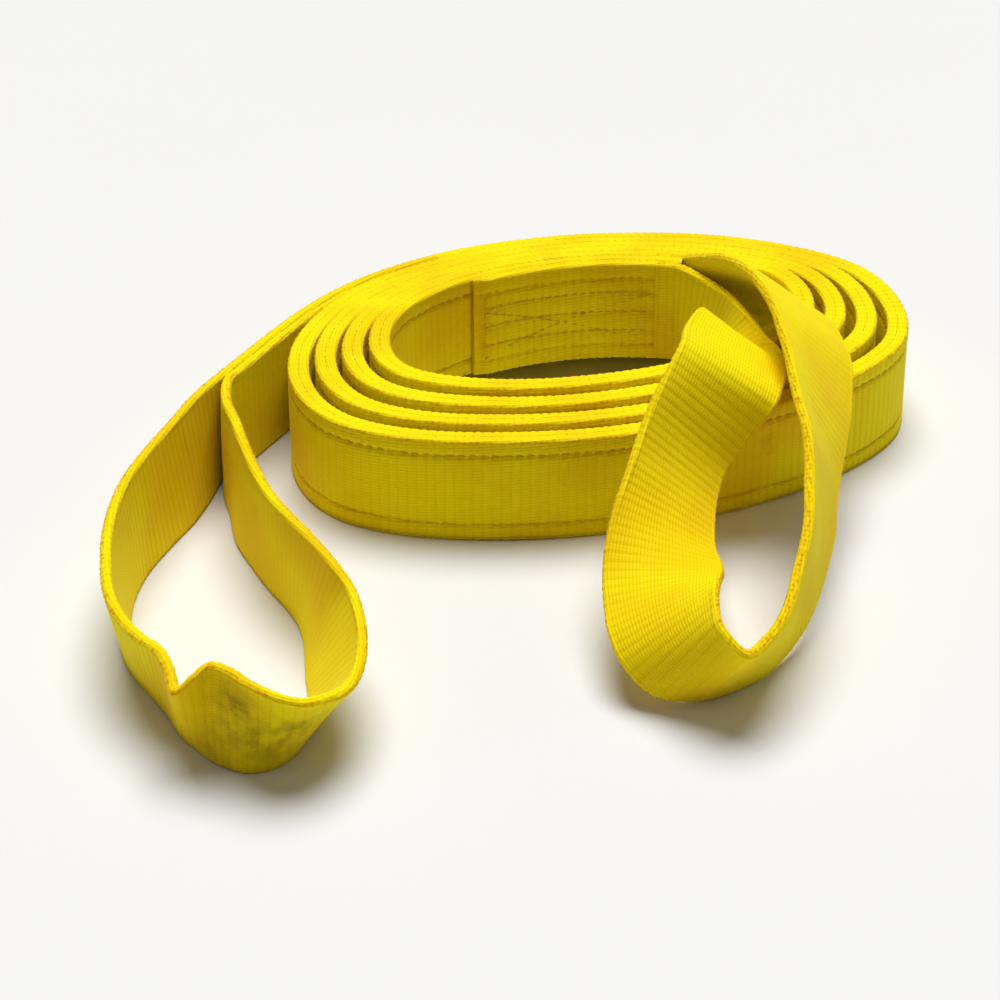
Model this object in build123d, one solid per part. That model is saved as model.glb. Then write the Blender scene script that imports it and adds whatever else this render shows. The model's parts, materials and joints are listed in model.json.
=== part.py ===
from build123d import *
import os
from math import atan2, cos, degrees, pi, radians, sin

# Flat web sling, two plies, an eye at each end.
# The sling stands on the edge of its webbing, wound clockwise (seen from above) into an
# oval coil. Its outer end leaves the coil at the back left and opens into the outer eye.
# Its inner end climbs out of the hollow, over the coil, and opens into the inner eye.
# Millimetres. +Z is up, the webbing's lower edges rest on z = 0, and the origin is
# under the middle of the whole object.

# ---- driving dimensions -------------------------------------------------------------------

web_width = 50.8            # two-inch webbing
ply = 5.0                   # thickness of one ply
turns = 4
rise_per_turn = 3.0         # each turn stands a little higher than the one outside it

coil_centre = (29.6, 83.3)
mean_radius = 125.7         # of the webbing's middle line where the tail joins
mean_pitch, right_slack = 12.25, 0.9
# How the oval departs from a circle: size, heading (degrees), number of waves, and the
# share of the size that each turn inwards loses.
oval_waves = ((27.1, 16.4, 2, 0.06), (2.7, -8.0, 3, 0.15), (-2.75, 12.3, 4, 0.08), (0.85, 41.0, 5, 0.1))

# Directions (degrees) that the webbing's outer face looks in at these places.
tail_leaves_at = 138.0
splice_starts_at = 123.0
inner_throat_at = 78.0

outer_throat = (-141.0, 39.0)
outer_throat_heading = (-0.51, -0.86)

hinge_gap = 0.35            # clearance where a moving stretch meets the next
tail_room, throat_room = 32.0, 26.0         # swing that each hinge is cut back for, degrees
inner_room = 16.0
thread = 0.12               # how far a stitch row stands off the face
row_height = 1.4            # height of a stitch row
edge_inset = 7.2            # from the webbing's edge to its stitch row
coil_step = 5.0             # degrees that the webbing turns from one station to the next
curve_step = 9.0            # distance between stations elsewhere
to_middle = (0.5, 6.1)      # moves the whole object so that the origin is under its middle

# ---- the coil's middle line ---------------------------------------------------------------


def spiral(facing):
    """Point of the coil where the webbing's outer face looks towards an angle (degrees)."""
    a = radians(facing)
    wound = (tail_leaves_at - facing) / 360
    pitch = mean_pitch + right_slack * cos(a)
    reach = mean_radius - wound * pitch
    slope = pitch / (2 * pi) + wound * right_slack * sin(a)
    for size, heading, waves, fade in oval_waves:
        phase = waves * (a - radians(heading))
        left_over = size * (1 - fade * wound)
        reach += left_over * cos(phase)
        slope += size * fade / (2 * pi) * cos(phase) - left_over * waves * sin(phase)
    x = coil_centre[0] + reach * cos(a) - slope * sin(a)
    y = coil_centre[1] + reach * sin(a) + slope * cos(a)
    return Vector(x, y)


def onward(facing):
    """Direction in which the webbing winds inwards, clockwise seen from above."""
    return Vector(sin(radians(facing)), -cos(radians(facing)))


# ---- webbing on its edge ------------------------------------------------------------------
# A line is a list of stations along the webbing, each a point and the direction onward.


def coil_line(first, last):
    steps = round((first - last) / coil_step)
    facings = [first - coil_step * i for i in range(steps + 1)]
    return [(spiral(facing), onward(facing)) for facing in facings]


def curve_line(curve, first=0.0, last=1.0):
    steps = round(curve.length * (last - first) / curve_step)
    places = [first + (last - first) * i / steps for i in range(steps + 1)]
    return [(curve @ place, curve % place) for place in places]


def to_left(direction):
    return Vector(-direction.Y, direction.X)


def beside(line, offset):
    """Points at a distance to the left of a line."""
    return [point + to_left(ahead) * offset for point, ahead in line]


def strip(line, near, far, low=0.0, height=web_width):
    """Upright strip that follows a line, between two offsets to its left."""
    outline = Polyline(*beside(line, near), *reversed(beside(line, far)), close=True)
    return Pos(0, 0, low) * extrude(make_face(outline), height)


def stitch_rows(line, near_face, far_face, low, insets):
    """Thread rows on both faces of the webbing, at heights measured from its lower edge."""
    rows = []
    for inset in insets:
        rows.append(strip(line, near_face - thread, near_face, low + inset, row_height))
        rows.append(strip(line, far_face, far_face + thread, low + inset, row_height))
    return rows


# ---- hinges between stretches of webbing ---------------------------------------------------


def facing_plane(centre, ahead):
    return Plane(origin=(centre.X, centre.Y, 0), x_dir=(ahead.X, ahead.Y, 0), z_dir=(0, 0, 1))


def rounded_root(centre, ahead, radius, near, far, low=0.0):
    """Slice of the round end behind a hinge, between two offsets to the left of ahead."""
    middle = low + web_width / 2
    disc = Pos(centre.X, centre.Y, middle) * Cylinder(radius, web_width)
    slab = Pos(-radius / 2, (near + far) / 2, middle) * Box(radius, far - near, web_width)
    return disc & facing_plane(centre, ahead).location * slab


def socket(shape, centre, ahead, radius, room):
    """Web end that a round end turns in: hollowed out, and cut back for the swing."""
    reach, tall = radius + hinge_gap, 4 * web_width
    hollow = Pos(centre.X, centre.Y, 0) * Cylinder(reach, tall)
    front = Pos(2 * reach - reach * sin(radians(room)), 0, 0) * Box(4 * reach, 2.1 * reach, tall)
    cut = shape - hollow - facing_plane(centre, ahead).location * front
    return max(cut.solids(), key=lambda solid: solid.volume)


parts = {}

# ---- the coil -----------------------------------------------------------------------------

tail_hinge = spiral(tail_leaves_at)
tail_ahead = -onward(tail_leaves_at)
lower_inset, upper_inset = edge_inset, web_width - edge_inset - row_height
lower_rows, upper_rows = [], []
for turn in range(turns):
    start = tail_leaves_at - 360 * turn
    stop = start - 360 if turn < turns - 1 else splice_starts_at - 360 * turns
    low = rise_per_turn * turn
    line = coil_line(start, stop)
    outer, inner = strip(line, 0, ply, low), strip(line, -ply, 0, low)
    if turn == 0:
        outer = socket(outer, tail_hinge, tail_ahead, ply, tail_room)
        inner = socket(inner, tail_hinge, tail_ahead, ply, tail_room)
        line = line[1:]
    parts[f"outer_ply_turn_{turn + 1}"] = outer
    parts[f"inner_ply_turn_{turn + 1}"] = inner
    lower_rows += stitch_rows(line, -ply, ply, low, [lower_inset])
    upper_rows += stitch_rows(line, -ply, ply, low, [upper_inset])

# ---- the inner splice: three plies on the coil's innermost wall --------------------------------

splice_low = rise_per_turn * turns
splice_start, splice_stop = splice_starts_at - 360 * turns, inner_throat_at - 360 * turns
splice_line = coil_line(splice_start, splice_stop)
inner_ahead = onward(inner_throat_at)
inner_radius = 1.5 * ply
inner_throat = spiral(splice_stop) - to_left(inner_ahead) * ply / 2
for name, near in (("outer", 0), ("middle", -ply), ("lap", -2 * ply)):
    layer = strip(splice_line, near, near + ply, splice_low)
    parts[f"splice_{name}_ply"] = socket(layer, inner_throat, inner_ahead, inner_radius, inner_room)

stitched_line = splice_line[:-1]
lower_rows += stitch_rows(stitched_line, -2 * ply, ply, splice_low, [lower_inset])
upper_rows += stitch_rows(stitched_line, -2 * ply, ply, splice_low, [upper_inset])
parts["lower_edge_stitch"] = Compound(children=lower_rows)
parts["upper_edge_stitch"] = Compound(children=upper_rows)


def stitch(line, span, share, height, slant):
    """One stitch on the lap's face, in a span of the line, tilted by slant degrees."""
    (first, _), (last, _) = line[span], line[span + 1]
    here = first + (last - first) * share
    lying = Pos(0, lap_face, height) * Rot(0, -slant, 0) * Box(3.4, thread, 0.9)
    return facing_plane(here, last - first).location * lying


def zigzag(line, spans, low, high, spans_per_leg, per_span):
    """Slanting seams that cross the webbing to and fro, one stitch at a time."""
    found = []
    for span in range(spans):
        leg, step = divmod(span, spans_per_leg)
        rising = 1 if leg % 2 == 0 else -1
        reach = (line[span + 1][0] - line[span][0]).length * spans_per_leg
        slant = rising * degrees(atan2(high - low, reach))
        for i in range(per_span):
            share = (i + 0.5) / per_span
            crossed = (step + share) / spans_per_leg - 0.5
            height = (low + high) / 2 + rising * crossed * (high - low)
            found.append(stitch(line, span, share, height, slant))
    return found


lap_face = -2 * ply - thread / 2 - 0.1
low_seam, high_seam = splice_low + 11, splice_low + 40
zigzag_spans = 6
parts["splice_zigzag_stitch"] = Compound(
    children=zigzag(splice_line, zigzag_spans, low_seam, high_seam, 2, 3))

bars = []
for share in (0.3, 0.7):
    for i in range(8):
        bars.append(stitch(splice_line, zigzag_spans + 1, share, low_seam + 1.5 + i * 3.8, 90))
parts["splice_bar_tacks"] = Compound(children=bars)

# ---- the tail, from the coil to the outer throat --------------------------------------------

throat = Vector(*outer_throat)
throat_ahead = Vector(*outer_throat_heading).normalized()
tail_curve = Spline(throat, tail_hinge, tangents=[-throat_ahead, -tail_ahead])
tail_line = curve_line(tail_curve)
for name, near in (("outer", 0), ("inner", -ply)):
    layer = socket(strip(tail_line, near, near + ply), throat, throat_ahead, ply, throat_room)
    # To the left of the tail's own heading is the right of the line, which comes back.
    root = rounded_root(tail_hinge, tail_ahead, ply, -near - ply, -near)
    parts[f"tail_{name}_ply"] = layer + root
tail_rows = stitch_rows(tail_line[1:], -ply, ply, 0, [lower_inset, upper_inset])
parts["tail_edge_stitch"] = Compound(children=tail_rows)

# ---- webbing through its ribs: each is a place on the upper selvedge, then on the lower ----------


def rib_section(before, rib, after):
    """Corners of the webbing's section at one rib, square to its run and clear of the floor."""
    upper, lower = Vector(*rib[0]), Vector(*rib[1])
    run = Vector(*after[0]) + Vector(*after[1]) - Vector(*before[0]) - Vector(*before[1])
    half = (upper - lower).cross(run).normalized() * ply / 2
    corners = [upper + half, lower + half, lower - half, upper - half]
    lift = Vector(0, 0, max(0, -min(corner.Z for corner in corners)))
    return [corner + lift for corner in corners]


def flat_face(*corners):
    return Face(Wire.make_polygon(corners, close=True))


def twisted(ribs, before, after):
    """Stretch of webbing through its ribs, with each twisted span as pairs of triangles."""
    chain = [before] + ribs + [after]
    sections = [rib_section(*chain[i - 1:i + 2]) for i in range(1, len(chain) - 1)]
    faces = [flat_face(*sections[0]), flat_face(*sections[-1])]
    for here, there in zip(sections, sections[1:]):
        for i in range(4):
            j = (i + 1) % 4
            faces.append(flat_face(here[i], here[j], there[j]))
            faces.append(flat_face(here[i], there[j], there[i]))
    return Solid(Shell(faces)).fix()


def root_edges(place, low=0.0):
    """The upright rib where an eye's limb meets its throat."""
    return ((place.X, place.Y, low + web_width), (place.X, place.Y, low))


def beyond(rib, ahead, distance):
    """A rib further along a throat's heading, which sets the first section square to it."""
    shift = ahead * distance
    return [tuple(Vector(*end) + shift) for end in rib]


def eye_parts(name, left, bight, right, ahead):
    """The two limbs and the bight of an eye, each from the ribs that it shares with the next."""
    stretches = (
        ("left_limb", left + bight[:1], beyond(left[1], ahead, -60), bight[1]),
        ("bight", bight, left[-1], right[0]),
        ("right_limb", bight[-1:] + right, bight[-2], beyond(right[-2], ahead, -60)),
    )
    return {f"{name}_{part}": twisted(ribs, before, after) for part, ribs, before, after in stretches}


# ---- the outer eye: one ply, standing on its lower selvedge, with a kink at its front left --------

throat_aside = to_left(throat_ahead) * ply / 2
outer_left_ribs = [
    root_edges(throat - throat_aside),
    ((-151, 24, 50.8), (-147, 20, 0)),
    ((-166, -18, 50.2), (-160, -20, 0)),
    ((-176, -62, 50), (-172, -61, 0)),
    ((-175.5, -108, 49.7), (-171, -98, 0)),
    ((-166, -145, 46.5), (-160, -126, 0)),
]
outer_bight_ribs = [
    ((-151, -168, 46.5), (-148, -149, 0)),
    ((-139.7, -190, 43.5), (-139, -166, 0)),
    ((-126.6, -187, 50.6), (-126, -180, 0)),
    ((-112, -195.5, 50), (-113, -186, 0)),
    ((-89, -199, 43), (-98, -176, 0)),
    ((-73, -184, 38.2), (-91, -156, 0)),
    ((-67.5, -157, 39.4), (-90.5, -135, 0)),
]
outer_right_ribs = [
    ((-73.5, -122, 45.3), (-93, -110, 0)),
    ((-91, -91, 49.7), (-97, -83, 0)),
    ((-111, -56, 50.6), (-111, -55, 0)),
    ((-124.5, -14, 50.6), (-127, -16, 0)),
    ((-134, 20, 50.8), (-135, 19, 0)),
    root_edges(throat + throat_aside),
]
parts.update(eye_parts("outer_eye", outer_left_ribs, outer_bight_ribs, outer_right_ribs, throat_ahead))
parts["outer_eye_left_limb"] += rounded_root(throat, throat_ahead, ply, -ply, 0)
parts["outer_eye_right_limb"] += rounded_root(throat, throat_ahead, ply, 0, ply)

# ---- the inner eye: one ply, twisted, over the coil and down in front of it ------------------------

inner_aside = to_left(inner_ahead) * ply
inner_left_ribs = [
    root_edges(inner_throat - inner_aside, splice_low),
    ((88.3, 93.8, 66), (79.3, 105.8, 19)),
    ((96, 52, 73), (79, 78, 37)),
    ((101, 9, 84), (76, 47, 72)),
    ((104, -9, 76), (71, 17, 97)),
    ((94, -13, 51), (59, -10, 85)),
    ((83, -24, 34), (49, -30, 72)),
    ((79, -49, 26), (40, -52, 58)),
    ((81, -76, 28), (33, -76, 43)),
    ((80, -106, 41), (32, -104, 28)),
]
inner_bight_ribs = [
    ((75, -130, 50), (38, -128, 16)),
    ((74, -148, 48), (51, -136, 5)),
    ((84, -159, 41), (68, -132, 3)),
    ((96, -149, 42), (83, -124, 3)),
    ((105, -133, 48), (97, -115, 3)),
    ((111, -112, 55), (112, -97, 6)),
]
inner_right_ribs = [
    ((116, -81, 64), (124, -68, 16)),
    ((117, -44, 74), (132, -32, 27)),
    ((113, -8, 82), (139, 1, 39)),
    ((109, 26, 88), (147, 31, 55)),
    ((105, 49, 92), (142, 66, 62)),
    ((98, 61, 94), (130, 88, 65)),
    ((91, 88, 90), (113, 111, 57)),
    ((84, 110, 79), (99, 125, 33)),
    root_edges(inner_throat + inner_aside, splice_low),
]
parts.update(eye_parts("inner_eye", inner_left_ribs, inner_bight_ribs, inner_right_ribs, inner_ahead))
for name, near in (("inner_eye_left_limb", -1.5 * ply), ("inner_eye_right_limb", ply / 2)):
    parts[name] += rounded_root(inner_throat, inner_ahead, inner_radius, near, near + ply, splice_low)
parts["inner_throat_core"] = rounded_root(
    inner_throat, inner_ahead, inner_radius, -ply / 2, ply / 2, splice_low)

# ---- write one file for each piece ---------------------------------------------------------------

os.makedirs("parts", exist_ok=True)
standing = Pos(*to_middle, 0)
for name, shape in parts.items():
    export_step(standing * shape, f"parts/{name}.step")

whole = (standing * Compound(children=list(parts.values()))).bounding_box()
print("box", whole.min, whole.max)
for name, place in (("tail", tail_hinge), ("outer throat", throat), ("inner throat", inner_throat)):
    print(name, "hinge", standing * Pos(place.X, place.Y, 0))
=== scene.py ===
import json
from math import pi, radians

import bpy
import numpy as np
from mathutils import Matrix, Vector


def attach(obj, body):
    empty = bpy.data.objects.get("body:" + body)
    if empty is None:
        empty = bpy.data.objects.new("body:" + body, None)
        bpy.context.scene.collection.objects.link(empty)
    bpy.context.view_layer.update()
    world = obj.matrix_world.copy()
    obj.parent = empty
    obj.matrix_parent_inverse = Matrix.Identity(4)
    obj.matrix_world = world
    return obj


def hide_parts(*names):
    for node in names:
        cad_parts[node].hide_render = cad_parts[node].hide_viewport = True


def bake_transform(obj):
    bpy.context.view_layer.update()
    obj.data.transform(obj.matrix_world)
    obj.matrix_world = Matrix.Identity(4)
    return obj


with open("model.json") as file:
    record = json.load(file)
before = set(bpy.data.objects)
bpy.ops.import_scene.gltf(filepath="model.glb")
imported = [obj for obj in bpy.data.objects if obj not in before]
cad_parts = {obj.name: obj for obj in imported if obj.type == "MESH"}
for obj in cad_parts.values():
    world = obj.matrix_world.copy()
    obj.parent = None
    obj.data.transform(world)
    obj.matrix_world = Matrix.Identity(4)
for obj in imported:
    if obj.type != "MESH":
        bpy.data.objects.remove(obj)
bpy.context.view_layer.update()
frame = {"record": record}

# A flat web sling, wound on its edge. Lengths are in millimetres up to the moment that a mesh
# is made, in the frame's own axes: +Z is up, across the webbing as it stands.

MM = 0.001

WEB = 50.8                  # width of the webbing
PLY = 5.0
RIB = 4.1                   # length of one transverse rib of the weave
PER_RIB = 6                 # stations in one rib
STEP = RIB / PER_RIB
BEAD = 4 * STEP             # length of one loop of the braided selvedge
ROW_INSET = 7.9             # stitch rows, from each selvedge
STITCH_PITCH = 5.0
FREE_CORNER, SHOWN_CORNER, HIDDEN_CORNER = 1.9, 1.5, 0.2        # radii of a ply's corners
SWELL_LENGTH = 83           # distance between the webbing's shallow swells
UNEVEN_LENGTH = 41          # and between its deeper and shallower ribs
BEATEN = 9                  # a cut end is beaten flat over this length
RISE = 3.0                  # each turn stands this much higher than the one outside it
TURNS = 4

TAIL_AT, LAP_AT, THROAT_AT = 138.0, 123.0, 78.0     # where the outer face looks, degrees
COIL_CENTRE = np.array((29.6, 83.3))
MEAN_RADIUS, MEAN_PITCH, RIGHT_SLACK = 125.7, 12.25, 0.9
# How the oval departs from a circle: size, heading, waves, and the share lost by each turn.
OVAL_WAVES = ((27.1, 16.4, 2, 0.06), (2.7, -8.0, 3, 0.15), (-2.75, 12.3, 4, 0.08), (0.85, 41.0, 5, 0.1))

# Places on the outer eye's lower front that are darkened, partly as soil and partly as painted shade: x, y, z
# and size, before the move to the frame.
SOIL_AND_SHADE_PLACES = ((-129, -188, 9, 9), (-115, -192, 34, 11), (-96, -190, 26, 12), (-108, -186, 22, 17))

# ---- small tools ----------------------------------------------------------------------------


def joint_place(name):
    found = next(j for j in frame["record"]["behaviour"]["joints"] if j["name"] == name)
    return np.array(found["pos_m"]) / MM


def unit(rows):
    return rows / np.linalg.norm(rows, axis=-1, keepdims=True)


def smooth_step(t):
    t = np.clip(t, 0, 1)
    return t * t * (3 - 2 * t)


def drift(places, wavelength, seed):
    """Smooth, repeatable unevenness between about -1 and 1 along a length."""
    rng = np.random.default_rng(seed)
    total = np.zeros_like(places, dtype=float)
    for share in (1.0, 0.61, 0.37):
        size = rng.uniform(0.6, 1.0)
        shift = rng.uniform(0, 2 * pi)
        total += size * np.sin(2 * pi * places / (wavelength * share) + shift)
    return total / 2.2


def path_lengths(points):
    return np.concatenate([[0], np.cumsum(np.linalg.norm(np.diff(points, axis=0), axis=1))])


def through(points, samples):
    """Smooth curve through a few points, given as many samples (Catmull-Rom, centripetal)."""
    points = np.asarray(points, float)
    knots = np.concatenate([[0], np.cumsum(np.linalg.norm(np.diff(points[:, :3], axis=0), axis=1) ** 0.5)])
    slopes = np.gradient(points, knots, axis=0)
    t = np.linspace(0, knots[-1], samples)
    i = np.clip(np.searchsorted(knots, t, side="right") - 1, 0, len(knots) - 2)
    gap = (knots[i + 1] - knots[i])[:, None]
    u = (t - knots[i])[:, None] / gap
    return ((2 * u**3 - 3 * u**2 + 1) * points[i] + (u**3 - 2 * u**2 + u) * gap * slopes[i]
            + (3 * u**2 - 2 * u**3) * points[i + 1] + (u**3 - u**2) * gap * slopes[i + 1])


# ---- where the webbing runs -----------------------------------------------------------------
# A run is a stretch of webbing: stations one STEP apart along its middle line. Each station has
# its middle, the direction across the web (up), and the direction that its outer face looks in.


class Run:
    def __init__(self, middle, across, along=None):
        lengths = path_lengths(middle)
        if along is None:
            count = int(lengths[-1] // STEP)
            along = STEP * np.arange(count + 1)
            middle = np.stack([np.interp(along, lengths, middle[:, k]) for k in range(3)], axis=1)
            across = np.stack([np.interp(along, lengths, across[:, k]) for k in range(3)], axis=1)
        self.middle, self.along, self.across = middle, along, unit(across)
        self.ahead = unit(np.gradient(middle, axis=0))
        self.outward = unit(np.cross(self.across, self.ahead))

    def part(self, first, last):
        """The stations from one length to another, cut at the bottom of a rib."""
        first, last = (int(round(length / RIB)) * PER_RIB + PER_RIB // 2 for length in (first, last))
        first = 0 if first <= PER_RIB // 2 else first
        last = min(last, len(self.along) - 1)
        piece = object.__new__(Run)
        for name, values in vars(self).items():
            setattr(piece, name, values[first:last + 1])
        return piece


def spiral(facing):
    """Places of the coil's middle line where the outer face looks towards these headings."""
    a = np.radians(facing)
    wound = (TAIL_AT - facing) / 360
    pitch = MEAN_PITCH + RIGHT_SLACK * np.cos(a)
    reach = MEAN_RADIUS - wound * pitch
    slope = pitch / (2 * pi) + wound * RIGHT_SLACK * np.sin(a)
    for size, heading, waves, fade in OVAL_WAVES:
        phase = waves * (a - radians(heading))
        left_over = size * (1 - fade * wound)
        reach += left_over * np.cos(phase)
        slope += size * fade / (2 * pi) * np.cos(phase) - left_over * waves * np.sin(phase)
    x = COIL_CENTRE[0] + reach * np.cos(a) - slope * np.sin(a)
    y = COIL_CENTRE[1] + reach * np.sin(a) + slope * np.cos(a)
    return np.stack([x, y], axis=-1)


def onward(facing):
    return np.stack([np.sin(np.radians(facing)), -np.cos(np.radians(facing))], axis=-1)


tail_hinge, outer_throat, inner_throat = (
    joint_place(name) for name in ("tail_swing", "outer_eye_swing", "inner_eye_swing"))
to_frame = np.append(tail_hinge[:2] - spiral(np.array(TAIL_AT)), 0)     # from the coil's own place

END_FACING = THROAT_AT - 360 * TURNS
facings = np.arange(TAIL_AT, END_FACING - 0.01, -0.25)
flat_coil = spiral(facings)
coil_lengths = path_lengths(flat_coil)


def length_at(facing):
    return float(np.interp(-facing, -facings, coil_lengths))


def coil_height(facing):
    """Height of the middle of the web: level most of the way round, and up at the back left."""
    wound = (TAIL_AT - facing) / 360
    turn = np.floor(wound)
    climbed = turn + smooth_step((wound - turn - 0.8) / 0.2)
    return WEB / 2 + RISE * np.minimum(climbed, TURNS)


def coil_run():
    along = STEP * np.arange(int(coil_lengths[-1] // STEP) + 1)
    facing = -np.interp(along, coil_lengths, -facings)
    flat = spiral(facing)
    height = coil_height(facing) + 0.25 * drift(along, 190, 3)
    run = Run(np.column_stack([flat, height]) + to_frame, np.tile((0.0, 0.0, 1.0), (len(along), 1)), along)
    run.outward = np.column_stack([np.cos(np.radians(facing)), np.sin(np.radians(facing)), 0 * facing])
    run.facing = facing
    return run


# ---- webbing as a skin ----------------------------------------------------------------------
# A section goes once round the webbing: for each point its place across the web (-25.4 lower
# selvedge to 25.4 upper), its place through the web, how strongly the ribs show there, and how
# deep the stitch rows pull it in.


def section(low, high, showing="both", rows="", tint=(0.7, 0.35, 0.5), seams=()):
    """Section of one ply that fills low..high through the web, rounded at its selvedges.

    A hidden side lies against the next ply, so its corners are small. tint is where the orange
    of the selvedge lies (1 at the outer corner, -1 at the inner), how wide it is, and how strong.
    seams are more heights at which stitching pulls the faces in.
    """
    half, mid, span, crown = (high - low) / 2, (high + low) / 2, WEB / 2, 0.3
    fine = np.array([-23.4, -22.4, -21.2, -20, -19, -18.3, -17.8, -17.3, -16.8, -16.1, -15, -13, -10, -5, 0])
    near_seams = [place + apart for place in seams for apart in (-4, -2.6, -1.3, 1.3, 2.6, 4)]
    fine = np.unique(np.concatenate([fine, -fine[-2::-1], near_seams]))
    plain = np.array([-23.4, -17.5, -8, 8, 17.5, 23.4])
    rim = np.array([0.99, 0.88, 0.66, 0.36, 0, -0.36, -0.66, -0.88, -0.99])
    points = []

    def face(places, side):
        for w in places:
            shown = showing in ("both", "outer" if side > 0 else "inner")
            stitched = rows in ("both", "outer" if side > 0 else "inner")
            rise = crown * max(np.cos(pi * w / (2 * span)), 0) ** 0.5
            pulls = [0.62 * np.exp(-((w - place) / 1.5) ** 2) for place in seams]
            pull = max([stitched * np.exp(-((abs(w) - (span - ROW_INSET)) / 1.0) ** 2)] + pulls)
            welt = 0.22 * np.exp(-((abs(w) - 21.3) / 1.9) ** 2) - 0.12 if stitched else 0
            depth = mid + side * (half - crown + rise + welt)
            points.append((w, depth, 1.0 if shown else 0.3, pull, side, 0))

    def selvedge(up):
        for t in rim * up:
            shown = showing == "both" or (showing == "outer") == (t > 0)
            radius = FREE_CORNER if showing == "both" else SHOWN_CORNER if shown else HIDDEN_CORNER
            past = max(0, (abs(t) * half - half + radius) / radius)
            across = up * (span - radius * (1 - (1 - past**2) ** 0.5))
            # How strongly the selvedge is tinted orange here: full on the upper selvedge, half on the lower.
            orange_share = tint[2] * np.exp(-((t - tint[0]) / tint[1]) ** 2) * (1 if up > 0 else 0.5)
            points.append((across, mid + half * t, 0.7, 0, 0, orange_share))

    face(fine if showing in ("both", "outer") else plain, 1)
    selvedge(1)
    face((fine if showing in ("both", "inner") else plain)[::-1], -1)
    selvedge(-1)
    return np.array(points)


def mesh_object(name, verts, faces, attributes, flat_rings=()):
    """Mesh from vertices in millimetres, with the webbing's own coordinates on its points."""
    mesh = bpy.data.meshes.new(name)
    loops = [len(f) for f in faces]
    mesh.vertices.add(len(verts))
    mesh.vertices.foreach_set("co", (verts * MM).astype(np.float32).ravel())
    mesh.loops.add(sum(loops))
    mesh.polygons.add(len(faces))
    mesh.loops.foreach_set("vertex_index", np.concatenate([np.ravel(f) for f in faces]).astype(np.int32))
    mesh.polygons.foreach_set("loop_start", np.concatenate([[0], np.cumsum(loops)[:-1]]).astype(np.int32))
    mesh.polygons.foreach_set("use_smooth", np.ones(len(faces), bool))
    mesh.update(calc_edges=True)
    for label, values in attributes.items():
        kind = "FLOAT_VECTOR" if values.ndim == 2 else "FLOAT"
        layer = mesh.attributes.new(label, kind, "POINT")
        layer.data.foreach_set("vector" if values.ndim == 2 else "value", values.astype(np.float32).ravel())
    if len(flat_rings):
        ends = np.empty(2 * len(mesh.edges), np.int32)
        mesh.edges.foreach_get("vertices", ends)
        on_ring = np.isin(ends.reshape(-1, 2), flat_rings).all(axis=1)
        sharp = mesh.attributes.new("sharp_edge", "BOOLEAN", "EDGE")
        sharp.data.foreach_set("value", on_ring)
    mesh.validate()
    piece = bpy.data.objects.new(name, mesh)
    bpy.context.scene.collection.objects.link(piece)
    return piece


def grid_faces(rings, count):
    i, j = np.meshgrid(np.arange(rings - 1), np.arange(count), indexing="ij")
    i, j = i.ravel(), j.ravel()
    k = (j + 1) % count
    return np.stack([i * count + j, (i + 1) * count + j, (i + 1) * count + k, i * count + k], axis=1)


def skin(name, run, shape, seed, rib=0.42, pull=1.5, wave=0.22, taper=None):
    """Closed skin of webbing along a run, with ribs, pulled-in stitch rows and unevenness."""
    w, through_web, strength, pulled, side, tint = shape.T
    count, rings = len(shape), len(run.along)
    here, back, ahead = shape[:, :2], np.roll(shape[:, :2], 1, axis=0), np.roll(shape[:, :2], -1, axis=0)
    tangent = unit(ahead - back)
    normal = np.stack([-tangent[:, 1], tangent[:, 0]], axis=1)      # (across, through), outwards
    girth = np.concatenate([[0], np.cumsum(np.linalg.norm(np.diff(here, axis=0), axis=1))])
    s = run.along[:, None]
    crest = np.abs(np.cos(pi * s / RIB)) - 0.64
    uneven = 1 + 0.25 * drift(run.along, UNEVEN_LENGTH, seed)[:, None]
    pucker = 0.75 + 0.35 * np.cos(2 * pi * s / STITCH_PITCH + w[None, :] * 0.05)
    swell = wave * np.sin(2 * pi * s / SWELL_LENGTH + w[None, :] / 9 + seed) * (np.abs(side) > 0)
    braid = 0.2 * (np.abs(np.cos(pi * (s + 0.35 * through_web[None, :]) / BEAD)) - 0.5) * (side == 0)
    out = rib * crest * uneven * strength[None, :] - pull * pucker * pulled[None, :] + swell * 0.5 + braid
    across = w[None, :] + out * normal[None, :, 0]
    depth = through_web[None, :] + out * normal[None, :, 1]
    if taper is not None:                   # the depth that a cut end is beaten flat towards
        thin = 0.4 + 0.6 * smooth_step((run.along - run.along[0]) / BEATEN)[:, None]
        depth = taper + (depth - taper) * thin
    places = (run.middle[:, None, :] + across[:, :, None] * run.across[:, None, :]
              + depth[:, :, None] * run.outward[:, None, :])
    places[:, :, 2] = np.maximum(places[:, :, 2], 0)        # it rests on the floor
    caps = [places[0].mean(axis=0), places[-1].mean(axis=0)]
    verts = np.concatenate([places.reshape(-1, 3), caps])
    faces = list(grid_faces(rings, count))
    first, last = len(verts) - 2, len(verts) - 1
    for j in range(count):
        k = (j + 1) % count
        faces.append(np.array([first, j, k]))
        faces.append(np.array([last, (rings - 1) * count + k, (rings - 1) * count + j]))
    web = np.empty((len(verts), 3))
    web[:-2, 0] = np.repeat(run.along, count)
    web[:-2, 1] = np.tile(girth, rings)
    web[:-2, 2] = np.tile(w, rings)
    web[-2:] = ((run.along[0], 0, 0), (run.along[-1], 0, 0))
    rim = np.concatenate([np.arange(count), (rings - 1) * count + np.arange(count)])
    tints = np.concatenate([np.tile(tint, rings), (0, 0)])
    # Darker patches on the outer eye's lower front: partly soil, partly painted shade.
    soil_and_shade = np.zeros(len(verts))
    for x, y, z, size in SOIL_AND_SHADE_PLACES:
        apart = np.linalg.norm(verts - (to_frame + (x, y, z)), axis=1)
        soil_and_shade = np.maximum(soil_and_shade, np.exp(-(apart / size) ** 2))
    return mesh_object(name, verts, faces, {"web": web, "tint": tints, "soil_and_shade": soil_and_shade}, rim)


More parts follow.
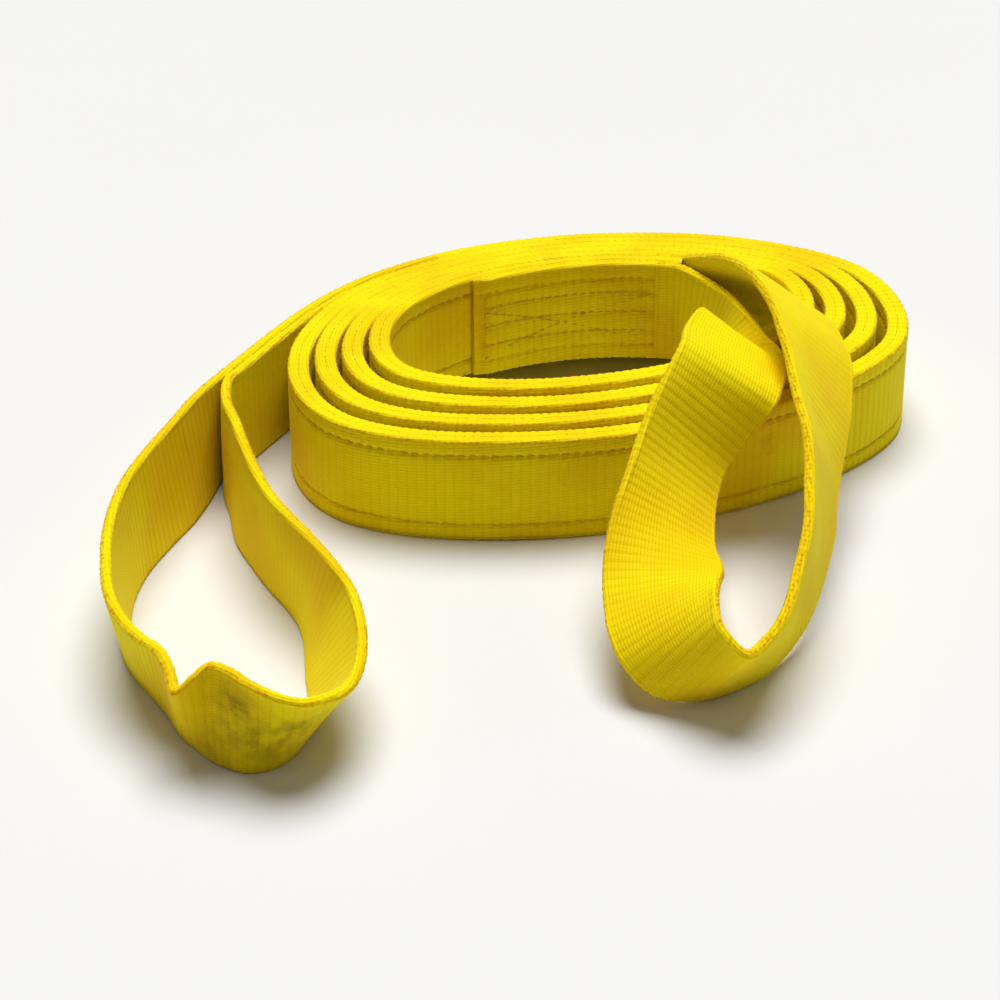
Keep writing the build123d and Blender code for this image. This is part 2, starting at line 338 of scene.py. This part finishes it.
def thread_stitches(name, places, directions, outwards, length=3.6, radius=0.3):
    """Short raised stitches, each a plump lozenge of thread that dips into the web at its ends."""
    around, stages = 6, 7
    t = np.linspace(-1, 1, stages)
    girth = np.sqrt(np.maximum(1 - t**4, 0.02)) * radius
    arch = (1 - t**2) * radius * 0.9 - radius * 0.5
    angle = np.linspace(0, 2 * pi, around, endpoint=False)
    sideways = np.cross(directions, outwards)
    spine = (places[:, None, :] + (t * length / 2)[None, :, None] * directions[:, None, :]
             + arch[None, :, None] * outwards[:, None, :])
    ring = (np.cos(angle)[None, None, :, None] * sideways[:, None, None, :]
            + np.sin(angle)[None, None, :, None] * outwards[:, None, None, :]) * girth[None, :, None, None]
    verts = (spine[:, :, None, :] + ring).reshape(-1, 3)
    per = stages * around
    quads = grid_faces(stages, around)
    faces = []
    for n in range(len(places)):
        faces.extend(quads + n * per)
        faces.append(np.arange(around)[::-1] + n * per)
        faces.append(np.arange(around) + n * per + per - around)
    web = np.zeros((len(verts), 3))
    web[:, 0] = np.repeat(np.arange(len(places)) * 3.7, per)
    web[:, 1] = np.tile(np.repeat(t * length / 2, around), len(places))
    return mesh_object(name, verts, faces, {"web": web})


def row_of_stitches(name, run, height, faces_at, pitch=STITCH_PITCH, lift=-0.75, jitter=0.3, seed=1):
    """A row of stitches along a run, on each of the faces named by its place through the web."""
    rng = np.random.default_rng(seed)
    centres = np.arange(run.along[0] + pitch / 2, run.along[-1] - pitch / 2, pitch)
    where = np.searchsorted(run.along, centres)
    groups = []
    for depth, side in faces_at:
        up_down = height + rng.uniform(-jitter, jitter, len(where))
        place = (run.middle[where] + up_down[:, None] * run.across[where]
                 + (depth + side * lift) * run.outward[where])
        groups.append((place, run.ahead[where], side * run.outward[where]))
    joined = [np.concatenate([g[k] for g in groups]) for k in range(3)]
    return thread_stitches(name, *joined, length=pitch * 0.8)


# ---- materials ------------------------------------------------------------------------------


def linear(r, g, b):
    """sRGB colour, 0 to 255, as the linear colour that a shader takes."""
    values = np.array((r, g, b)) / 255
    low = values / 12.92
    high = ((values + 0.055) / 1.055) ** 2.4
    return (*np.where(values <= 0.04045, low, high), 1.0)


class Nodes:
    """Short way to write a node tree: each call adds one node and returns its output."""

    def __init__(self, name):
        self.material = bpy.data.materials.new(name)
        self.material.use_nodes = True
        self.tree = self.material.node_tree
        self.shader = self.tree.nodes["Principled BSDF"]

    def put(self, socket, value):
        if isinstance(value, bpy.types.NodeSocket):
            self.tree.links.new(value, socket)
        else:
            socket.default_value = value

    def maths(self, operation, a, b=0.0):
        node = self.tree.nodes.new("ShaderNodeMath")
        node.operation = operation
        self.put(node.inputs[0], a)
        self.put(node.inputs[1], b)
        return node.outputs[0]

    def attribute(self, name, output="Vector"):
        node = self.tree.nodes.new("ShaderNodeAttribute")
        node.attribute_name = name
        return node.outputs[output]

    def split(self, vector):
        node = self.tree.nodes.new("ShaderNodeSeparateXYZ")
        self.put(node.inputs[0], vector)
        return node.outputs

    def joined(self, x, y, z=0.0):
        node = self.tree.nodes.new("ShaderNodeCombineXYZ")
        for socket, value in zip(node.inputs, (x, y, z)):
            self.put(socket, value)
        return node.outputs[0]

    def noise(self, vector, scale, detail=3.0):
        node = self.tree.nodes.new("ShaderNodeTexNoise")
        self.put(node.inputs["Vector"], vector)
        node.inputs["Scale"].default_value = scale
        node.inputs["Detail"].default_value = detail
        return node.outputs["Fac"]

    def place(self):
        return self.tree.nodes.new("ShaderNodeTexCoord").outputs["Object"]

    def band(self, value, low, high, to_low=0.0, to_high=1.0):
        node = self.tree.nodes.new("ShaderNodeMapRange")
        node.interpolation_type = "SMOOTHSTEP"
        self.put(node.inputs["Value"], value)
        for name, number in (("From Min", low), ("From Max", high), ("To Min", to_low), ("To Max", to_high)):
            node.inputs[name].default_value = number
        return node.outputs["Result"]

    def mixed(self, share, a, b):
        node = self.tree.nodes.new("ShaderNodeMix")
        node.data_type = "RGBA"
        self.put(node.inputs["Factor"], share)
        self.put([s for s in node.inputs if s.name == "A" and s.type == "RGBA"][0], a)
        self.put([s for s in node.inputs if s.name == "B" and s.type == "RGBA"][0], b)
        return [s for s in node.outputs if s.type == "RGBA"][0]

    def bump(self, height, distance, strength=1.0):
        node = self.tree.nodes.new("ShaderNodeBump")
        self.put(node.inputs["Height"], height)
        node.inputs["Distance"].default_value = distance
        node.inputs["Strength"].default_value = strength
        return node.outputs[0]


YELLOW = linear(250, 231, 0)
DEEP_YELLOW = linear(243, 209, 0)
# The valley colour is painted shade, for the hollows of the weave.
VALLEY_SHADE = linear(200, 154, 0)
ORANGE = linear(214, 132, 0)
# Dark brown for the stains, and for the soil and painted shade on the outer eye's lower front.
GRIME_AND_SHADE = linear(112, 78, 6)
# The last thread colour is painted shade, for the grooves of the thread's twist.
PALE_THREAD, DEEP_THREAD, TWIST_GROOVE_SHADE = linear(242, 216, 2), linear(224, 188, 2), linear(192, 150, 2)


def webbing_material():
    n = Nodes("webbing_weave")
    along, girth, across = n.split(n.attribute("web"))
    # Warp floats 1.5 mm wide lie side by side across each rib, a little out of step.
    wander = n.noise(n.joined(n.maths("MULTIPLY", along, 0.12), n.maths("MULTIPLY", girth, 0.12)), 3.0)
    shifted = n.maths("ADD", along, n.maths("MULTIPLY", wander, 0.5))
    rib = n.maths("ABSOLUTE", n.maths("COSINE", n.maths("MULTIPLY", shifted, pi / RIB)))
    half_rib = n.maths("ABSOLUTE", n.maths("COSINE", n.maths("MULTIPLY", shifted, 2 * pi / RIB)))
    lean = n.maths("ADD", girth, n.maths("MULTIPLY", along, 0.06))
    float_wave = n.maths("ABSOLUTE", n.maths("SINE", n.maths("MULTIPLY", lean, pi / 1.5)))
    cords = n.maths("ADD", n.maths("MULTIPLY", rib, 0.75), n.maths("MULTIPLY", half_rib, 0.25))
    weave = n.maths("MULTIPLY", n.maths("POWER", cords, 0.8), n.maths("POWER", float_wave, 0.3))
    fibres = n.noise(n.joined(n.maths("MULTIPLY", along, 0.6), n.maths("MULTIPLY", girth, 7.0)), 1.0, 2.0)
    height = n.maths("ADD", n.maths("MULTIPLY", weave, 0.85), n.maths("MULTIPLY", fibres, 0.22))
    # Colour: darker where the weave lies low, as painted shade in its hollows; orange along the selvedge
    # corners, deeper between the bead loops as painted shade; uneven dye; old dirt in stains; and soil with
    # painted shade on the outer eye's lower front.
    cloud = n.noise(n.place(), 17.0, 4.0)
    base = n.mixed(n.band(cloud, 0.38, 0.66), YELLOW, DEEP_YELLOW)
    # Painted shade: the colour darkens where the weave lies low.
    base = n.mixed(n.maths("MULTIPLY", n.band(weave, 0.5, 0.05), 0.6), base, VALLEY_SHADE)
    beads = n.maths("ABSOLUTE", n.maths("COSINE", n.maths("MULTIPLY", along, pi / BEAD)))
    patchy = n.noise(n.joined(n.maths("MULTIPLY", along, 0.1), n.maths("MULTIPLY", girth, 0.4)), 2.2, 3.0)
    # The orange is stronger in the hollows between the selvedge's bead loops, as painted shade there, and it
    # is patchy.
    bead_hollow_shade_and_patches = n.maths("MULTIPLY", n.band(beads, 0.9, 0.3, 0.5, 1.0), n.band(patchy, 0.4, 0.62, 0.1, 1.0))
    tint = n.maths("MULTIPLY", n.attribute("tint", "Fac"), bead_hollow_shade_and_patches)
    base = n.mixed(tint, base, ORANGE)
    stain = n.band(n.noise(n.place(), 31.0, 5.0), 0.68, 0.8, 0.0, 0.25)
    # The outer eye's lower front is darkened in patches: partly soil, partly painted shade.
    soil_and_shade_patches = n.noise(n.place(), 160.0, 4.0)
    soil_and_shade = n.maths("MULTIPLY", n.attribute("soil_and_shade", "Fac"), n.band(soil_and_shade_patches, 0.25, 0.7, 0.25, 0.85))
    base = n.mixed(n.maths("MAXIMUM", stain, soil_and_shade), base, GRIME_AND_SHADE)
    n.put(n.shader.inputs["Base Color"], base)
    n.put(n.shader.inputs["Roughness"], n.band(weave, 0.0, 0.9, 0.85, 0.62))
    n.put(n.shader.inputs["Normal"], n.bump(height, 0.00045, 0.9))
    n.shader.inputs["Specular IOR Level"].default_value = 0.07
    n.shader.inputs["Sheen Weight"].default_value = 0.03
    n.shader.inputs["Sheen Roughness"].default_value = 0.45
    return n.material


def thread_material():
    n = Nodes("stitch_thread")
    index, along, _ = n.split(n.attribute("web"))
    twist = n.maths("ABSOLUTE", n.maths("SINE", n.maths("MULTIPLY", along, pi / 0.8)))
    tone = n.noise(n.joined(index, 0.3), 0.9, 1.0)
    base = n.mixed(n.band(tone, 0.3, 0.7), PALE_THREAD, DEEP_THREAD)
    # Painted shade: the thread darkens in the grooves of its twist.
    n.put(n.shader.inputs["Base Color"], n.mixed(n.band(twist, 0.5, 0.0), base, TWIST_GROOVE_SHADE))
    n.put(n.shader.inputs["Roughness"], n.band(tone, 0.2, 0.8, 0.45, 0.62))
    n.put(n.shader.inputs["Normal"], n.bump(twist, 0.0002, 0.7))
    n.shader.inputs["Specular IOR Level"].default_value = 0.4
    return n.material


def floor_material():
    n = Nodes("plain_floor")
    shade = n.mixed(n.noise(n.place(), 3.0), (0.76, 0.76, 0.76, 1), (0.74, 0.74, 0.74, 1))
    n.put(n.shader.inputs["Base Color"], shade)
    n.shader.inputs["Roughness"].default_value = 0.9
    n.shader.inputs["Specular IOR Level"].default_value = 0.1
    return n.material


WEAVE, THREAD = webbing_material(), thread_material()


def finished(piece, material, body, nodes):
    """Gives a piece its material and hides the CAD nodes that it stands for; it hangs the piece from its body
    when that is one name, and otherwise only bakes its transform.
    """
    piece.data.materials.append(material)
    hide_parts(*nodes)
    if isinstance(body, str):
        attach(piece, body)
    else:
        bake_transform(piece)
    return piece


def web_piece(name, run, shape, body, nodes, rests_on=(), seed=1, **look):
    """A finished stretch of webbing."""
    piece = finished(skin(name, run, shape, seed, **look), WEAVE, body, nodes)


# ---- the coil -------------------------------------------------------------------------------

coil = coil_run()
FACE = PLY - 0.08                       # the outer faces stay inside the CAD plies
JOIN_AT = 118.0                         # turn 1 begins past the stretch that bends with the tail
begin = length_at(JOIN_AT)
cuts = [begin] + [length_at(TAIL_AT - 360 * k) for k in range(1, TURNS)] + [length_at(LAP_AT - 360 * TURNS)]
outer_shape = section(0, FACE, "outer", "outer", (0.85, 0.25, 0.8))
inner_shape = section(-FACE, 0, "inner", "inner", (-0.85, 0.25, 0.2))

for turn in range(TURNS):
    stretch = coil.part(cuts[turn], cuts[turn + 1])
    below = [f"outer_ply_turn_{turn}"] if turn else []
    web_piece(f"outer_ply_turn_{turn + 1}_web", stretch, outer_shape, "coil",
              [f"outer_ply_turn_{turn + 1}"], below, seed=11 + turn)
    web_piece(f"inner_ply_turn_{turn + 1}_web", stretch, inner_shape, "coil",
              [f"inner_ply_turn_{turn + 1}"], below, seed=21 + turn)

coil_start = coil.part(begin, cuts[1])
row = WEB / 2 - ROW_INSET
whole_coil = coil.part(begin, coil_lengths[-1] - 20)
body_faces = ((FACE, 1), (-FACE, -1))
for edge, height in (("lower", -row), ("upper", row)):
    stitches = row_of_stitches(f"{edge}_edge_stitches", whole_coil, height, body_faces, seed=5)
    finished(stitches, THREAD, "coil", [f"{edge}_edge_stitch"])

# ---- the splice: three plies on the coil's innermost wall ---------------------------------------

splice = coil.part(cuts[TURNS], coil_lengths[-1] - 14)
whole_splice = coil.part(cuts[TURNS], coil_lengths[-1])
LAYER = 4.85                            # each ply here is drawn this thick, pressed by its seams
for name, run, low, showing, seams, look in (
    ("outer", splice, 0.05, "outer", (), {}),
    ("middle", whole_splice, -FACE, "", (), {}),
    ("lap", splice, 0.1 - 2 * PLY, "inner", (-10, 0, 10), {"wave": 0.7, "taper": -PLY}),
):
    shape = section(low, low + LAYER, showing, showing, seams=seams)
    web_piece(f"splice_{name}_web", run, shape, "coil", [f"splice_{name}_ply"], seed=31 + len(name), **look)

# ---- the tail and the outer eye ---------------------------------------------------------------
# Each place on the outer eye: the middle of its upper selvedge, then of its lower selvedge.

throat_ahead = unit(np.array((-0.51, -0.86, 0.0)))
OUTER_EYE_RIBS = (
    ((-150, 26, 50.6), (-145, 22, 0)), ((-158, 4, 50.4), (-151, 1, 0)),
    ((-166, -18, 50.2), (-160, -20, 0)), ((-172.5, -40, 50), (-168, -41, 0)),
    ((-176, -62, 50), (-172, -61, 0)), ((-177, -86, 50), (-172.5, -80, 0)),
    ((-175.5, -108, 49.7), (-171, -98, 0)), ((-172.5, -128, 48), (-166.5, -113, 0)),
    ((-166, -145, 46.5), (-160, -126, 0)), ((-157, -159, 46), (-152, -139, 0)),
    ((-148.5, -169, 46.8), (-146, -150, 0)), ((-143.5, -180, 45.2), (-143, -157, 0)),
    ((-139.7, -192, 42.9), (-138.5, -165, 0)), ((-133.4, -190, 47.8), (-133, -173, 0)),
    ((-126.6, -185, 50.6), (-127, -180, 0)), ((-119, -188.5, 50.6), (-121, -184, 0)),
    ((-112, -195.5, 50), (-114, -187, 0)), ((-104.6, -200, 48.5), (-108, -186, 0)),
    ((-96.6, -202, 46), (-102, -182, 0)), ((-88.5, -200, 43), (-97, -175, 0)),
    ((-79.7, -193, 40.4), (-93.5, -166, 0)), ((-73, -184, 38.2), (-91, -156, 0)),
    ((-69, -172, 38), (-90, -146, 0)), ((-67.5, -157, 39.4), (-90.5, -135, 0)),
    ((-69, -139, 42.6), (-92, -124, 0)), ((-73.5, -122, 45.3), (-93, -110, 0)),
    ((-81.5, -107, 48), (-94, -97, 0)), ((-91, -91, 49.7), (-97, -83, 0)),
    ((-101, -75, 50.5), (-102.5, -70, 0)), ((-111, -56, 50.6), (-111, -55, 0)),
    ((-118.5, -35, 50.6), (-120, -36, 0)), ((-124.5, -14, 50.6), (-128, -17, 0)),
    ((-130, 7, 50.7), (-132, 5, 0)), ((-135, 24, 50.8), (-136, 23, 0)))


def edges_to_run(upper, lower, samples=4000):
    """Run from ribs: both selvedges as smooth curves, with the web kept at its true width."""
    chain = through(np.column_stack([upper, lower]), samples)
    top, bottom = chain[:, :3], chain[:, 3:]
    return (top + bottom) / 2, top - bottom


def half_tail(side):
    """One ply from the coil to the outer throat. side is 1 for the outer ply, -1 for the inner."""
    facing = np.linspace(coil_start.facing[0], TAIL_AT, 21)
    outwards = np.column_stack([np.cos(np.radians(facing)), np.sin(np.radians(facing))])
    above_floor = np.linspace(coil_start.middle[0, 2] - WEB / 2, 0, 21)
    start = np.column_stack([spiral(facing) + side * PLY / 2 * outwards, above_floor]) + to_frame
    hinge_ahead = -np.append(onward(TAIL_AT), 0)
    reach = np.linalg.norm(outer_throat - tail_hinge)
    u = np.linspace(0, 1, 60)[1:, None]
    mid = ((2 * u**3 - 3 * u**2 + 1) * tail_hinge + (u**3 - 2 * u**2 + u) * reach * hinge_ahead
           + (3 * u**2 - 2 * u**3) * outer_throat + (u**3 - u**2) * reach * throat_ahead)
    ahead = unit(np.gradient(mid, axis=0))
    right = np.column_stack([ahead[:, 1], -ahead[:, 0], 0 * ahead[:, 0]])
    return np.concatenate([start, mid + side * PLY / 2 * right])


standing = np.array((0, 0, WEB))
outer_tail, inner_tail = half_tail(1), half_tail(-1)[::-1]
ribs = np.array(OUTER_EYE_RIBS, float) + to_frame
upper = np.concatenate([outer_tail[::5] + standing, ribs[:, 0], inner_tail[::-1][::5][::-1] + standing])
lower = np.concatenate([outer_tail[::5], ribs[:, 1], inner_tail[::-1][::5][::-1]])
outer_strand = Run(*edges_to_run(upper, lower))
strand_length = outer_strand.along[-1]


def nearest_length(run, place, first, last):
    window = (run.along >= first * run.along[-1]) & (run.along <= last * run.along[-1])
    gaps = np.linalg.norm(run.middle[:, :2] - place[:2], axis=1)
    return float(run.along[np.argmin(np.where(window, gaps, np.inf))])


to_hinge = nearest_length(outer_strand, tail_hinge, 0.0, 0.3)
to_throat = nearest_length(outer_strand, outer_throat, 0.0, 0.4)
from_throat = nearest_length(outer_strand, outer_throat, 0.6, 1.0)
from_hinge = nearest_length(outer_strand, tail_hinge, 0.7, 1.0)
SPREAD = 26.0                           # half the span of the web's bend at a hinge; it only goes with the pieces there, which are not bent
hinge_ahead = -np.append(onward(TAIL_AT), 0)
at_tail = ("coil", "tail", tail_hinge - SPREAD * hinge_ahead, tail_hinge + SPREAD * hinge_ahead)
at_throat = ("tail", "outer_eye", outer_throat - SPREAD * throat_ahead, outer_throat + SPREAD * throat_ahead)
mid_out, mid_back = (to_hinge + to_throat) / 2, (from_throat + from_hinge) / 2
past = to_throat + SPREAD + 8
before = from_throat - SPREAD - 8
low, high = -PLY / 2 + 0.06, PLY / 2 - 0.06
ply_shape = section(low, high, tint=(-0.6, 0.45, 0.9))
stitched_out = section(low, high, "both", "inner", (-0.7, 0.35, 0.6))

web_piece("tail_outer_web", outer_strand.part(0, mid_out), stitched_out, at_tail, ["tail_outer_ply"], seed=41)
web_piece("tail_inner_web", outer_strand.part(mid_back, strand_length), ply_shape, at_tail,
          ["tail_inner_ply"], seed=42)
web_piece("outer_eye_left_root", outer_strand.part(mid_out, past), ply_shape, at_throat,
          ["outer_eye_left_limb"], seed=43, rib=0.4)
web_piece("outer_eye_right_root", outer_strand.part(before, mid_back), ply_shape, at_throat,
          ["outer_eye_right_limb"], seed=44, rib=0.4)
web_piece("outer_eye_loop", outer_strand.part(past, before), ply_shape, "outer_eye",
          ["outer_eye_bight"], seed=45, rib=0.4)

for edge, height in (("lower", -row), ("upper", row)):
    stretch = outer_strand.part(6, mid_out)
    stitches = row_of_stitches(f"tail_stitches_{edge}", stretch, height, ((-PLY / 2, -1),), seed=7)
    finished(stitches, THREAD, at_tail, ["tail_edge_stitch"])

# ---- the inner eye ----------------------------------------------------------------------------
# Each place on it: the upper selvedge of the webbing, then the lower selvedge.

inner_ahead = np.append(onward(THROAT_AT), 0)
lift = np.array((0, 0, WEB))
INNER_EYE_RIBS = (
    ((92, 96, 66), (83, 110, 18)), ((99.5, 73, 67), (82, 94, 27)), ((106.5, 50, 67), (80.5, 76, 38)),
    ((112.5, 33, 66), (79.8, 67, 56)), ((113.5, 20.5, 64.5), (76.4, 51.8, 80.4)),
    ((111.5, 6, 66), (68, 22, 88)), ((108, -7, 64), (65, 2, 92)), ((97, -11, 51), (59, -12, 86)),
    ((86, -17, 40), (52, -25, 76)), ((81, -30, 31), (46, -38, 67)), ((79, -46, 26), (41, -52, 59)),
    ((78.5, -63, 25), (36, -66, 51)), ((80, -80, 29), (32.5, -79, 42)), ((79.5, -96, 35), (31, -93, 33)),
    ((78, -110, 42), (31, -109, 27)), ((76.5, -125, 48), (32, -126, 23)), ((75, -142, 52), (38, -139, 16)),
    ((76, -157, 50), (50, -144, 7)), ((86, -165, 42), (66, -139, 2)), ((96, -154, 43), (81, -131, 0)),
    ((104, -140, 48), (95, -121, 1)), ((108, -124, 53), (106, -109, 4)), ((112, -109, 58), (115, -95, 9)),
    ((115, -93, 62), (121, -80, 14)), ((116, -76, 67), (126, -64, 18)), ((117, -60, 71), (130, -48, 23)),
    ((117, -44, 75), (132, -32, 28)), ((115, -27, 78), (135, -16, 33)), ((113, -11, 82), (139, 0, 39)),
    ((112, 6, 85), (142, 15, 45)), ((110, 23, 87), (144, 31, 50)), ((108, 39, 89), (145, 47, 55)),
    ((105, 56, 89), (142, 64, 57)), ((101, 73, 88), (138, 82, 57)), ((96, 90, 84), (128, 100, 50)),
    ((90, 106, 78), (114, 116, 42)), ((84, 120, 70), (98, 127, 30)))


def inner_strand():
    """From the splice's end round the eye and back, between the splice's two outer plies."""
    stations = slice(len(coil.along) - len(whole_splice.along) + len(splice.along) - 1, None, 4)
    middle, outward = coil.middle[stations] - to_frame - lift / 2, coil.outward[stations]
    start = middle - 1.5 * PLY * outward
    end = (middle + 0.5 * PLY * outward)[::-1]
    ribs = np.array(INNER_EYE_RIBS, float)
    upper = np.concatenate([start + lift, ribs[:, 0], end + lift]) + to_frame
    lower = np.concatenate([start, ribs[:, 1], end]) + to_frame
    return Run(*edges_to_run(upper, lower))


eye = inner_strand()
eye_length = eye.along[-1]
ROOT = 66.0                             # each root runs this far, past where the eye bends
eye_shape = section(low, high, tint=(0.0, 0.7, 1.0))
BEND_FROM, BEND_TO = 12, 14             # the span of its bend, from this far before its hinge to this far past; it only goes with the roots, which are not bent
near_throat = ("coil", "inner_eye", inner_throat - BEND_FROM * inner_ahead,
               inner_throat + BEND_TO * inner_ahead)
web_piece("inner_eye_left_root", eye.part(0, ROOT), eye_shape, near_throat,
          ["inner_eye_left_limb"], seed=51)
web_piece("inner_eye_right_root", eye.part(eye_length - ROOT, eye_length), eye_shape, near_throat,
          ["inner_eye_right_limb", "inner_throat_core"], seed=52)
web_piece("inner_eye_loop", eye.part(ROOT, eye_length - ROOT), eye_shape, "inner_eye",
          ["inner_eye_bight"], ["outer_ply_turn_1"], seed=53)


# ---- the splice's own seams -------------------------------------------------------------------


def seam(points, pitch):
    """Stitches along a seam on the lap's face: (share of the splice, height across) points."""
    share, height = np.array(points, float).T
    length = splice.along[-1] - splice.along[0]
    dense = np.linspace(share[0], share[-1], 400)
    heights = np.interp(dense, share, height)
    lengths = path_lengths(np.column_stack([dense * length, heights]))
    marks = np.arange(pitch / 2, lengths[-1], pitch)
    at, high = np.interp(marks, lengths, dense), np.interp(marks, lengths, heights)
    slope = np.interp(marks, lengths, np.gradient(heights, lengths))
    index = np.clip((at * (len(splice.along) - 1)).astype(int), 0, len(splice.along) - 1)
    face = splice.middle[index] + high[:, None] * splice.across[index] - SEAM_DEPTH * splice.outward[index]
    level = np.sqrt(np.maximum(1 - slope**2, 0))
    ahead = unit(level[:, None] * splice.ahead[index] + slope[:, None] * splice.across[index])
    return face, ahead, -splice.outward[index]


SEAM_DEPTH = 2 * PLY - 0.45             # the seams lie a little below the lap's own face
SEAMS = (
    ((0.03, 9.6), (0.97, 10.2)), ((0.03, 0.4), (0.97, -0.3)), ((0.03, -9.8), (0.97, -10.2)),
    ((0.05, -16.5), (0.97, 9.0)), ((0.05, 8.0), (0.97, -16.5)),
)
TACKS = [((at, -15.0), (at + 0.004, 15.0)) for at in (0.05, 0.93)]
for name, seams, pitch, length, radius, node in (
    ("splice_seams", SEAMS, 4.4, 3.6, 0.34, "splice_zigzag_stitch"),
    ("splice_tacks", TACKS, 2.6, 2.4, 0.3, "splice_bar_tacks"),
):
    found = [seam(points, pitch) for points in seams]
    joined = [np.concatenate([part[k] for part in found]) for k in range(3)]
    finished(thread_stitches(name, *joined, length, radius), THREAD, "coil", [node])

# ---- floor, light and camera --------------------------------------------------------------------


def floor(far=12.0):
    """A plain level floor that reaches this many metres each way."""
    mesh = bpy.data.meshes.new("floor")
    mesh.from_pydata([(-far, -far, 0), (far, -far, 0), (far, far, 0), (-far, far, 0)], [], [(0, 1, 2, 3)])
    piece = bpy.data.objects.new("floor", mesh)
    bpy.context.scene.collection.objects.link(piece)
    mesh.materials.append(floor_material())


def lamp(name, kind, place, power, size):
    """A soft light: size is a disc's diameter in metres, or a far light's spread in degrees."""
    light = bpy.data.lights.new(name, kind)
    light.energy = power
    if kind == "AREA":
        light.shape, light.size = "DISK", size
    else:
        light.angle = radians(size)
    holder = bpy.data.objects.new(name, light)
    holder.location = place
    holder.rotation_euler = (Vector((0, 0, 0.03)) - Vector(place)).to_track_quat("-Z", "Y").to_euler()
    bpy.context.scene.collection.objects.link(holder)


CAMERA_PLACE = (-12.4, to_frame[1] - 1231.8, 767.0)
LOOKS_DOWN = 31.5                       # degrees
LENS, SENSOR = 116.6, 36.0


def camera():
    """The viewing angle: looking along +Y and down, through a long lens."""
    data = bpy.data.cameras.new("camera")
    data.lens, data.sensor_width = LENS, SENSOR
    view = bpy.data.objects.new("camera", data)
    view.location = Vector(CAMERA_PLACE) * MM
    view.rotation_euler = (radians(90 - LOOKS_DOWN), 0, 0)
    bpy.context.scene.collection.objects.link(view)
    bpy.context.scene.camera = view


floor()
lamp("overhead", "SUN", (0.05, 0.42, 1.45), 3.5, 40)
lamp("left_fill", "AREA", (-1.5, -0.5, 0.8), 1.5, 1.0)
lamp("right_fill", "AREA", (1.5, -0.4, 0.8), 1.5, 1.0)
world = bpy.data.worlds.new("studio")
bpy.context.scene.world = world
world.use_nodes = True
background = world.node_tree.nodes["Background"]
background.inputs["Color"].default_value = (1, 0.95, 0.86, 1)
background.inputs["Strength"].default_value = 0.13
camera()
bpy.context.scene.view_settings.view_transform = "Standard"      # keeps the strong yellow
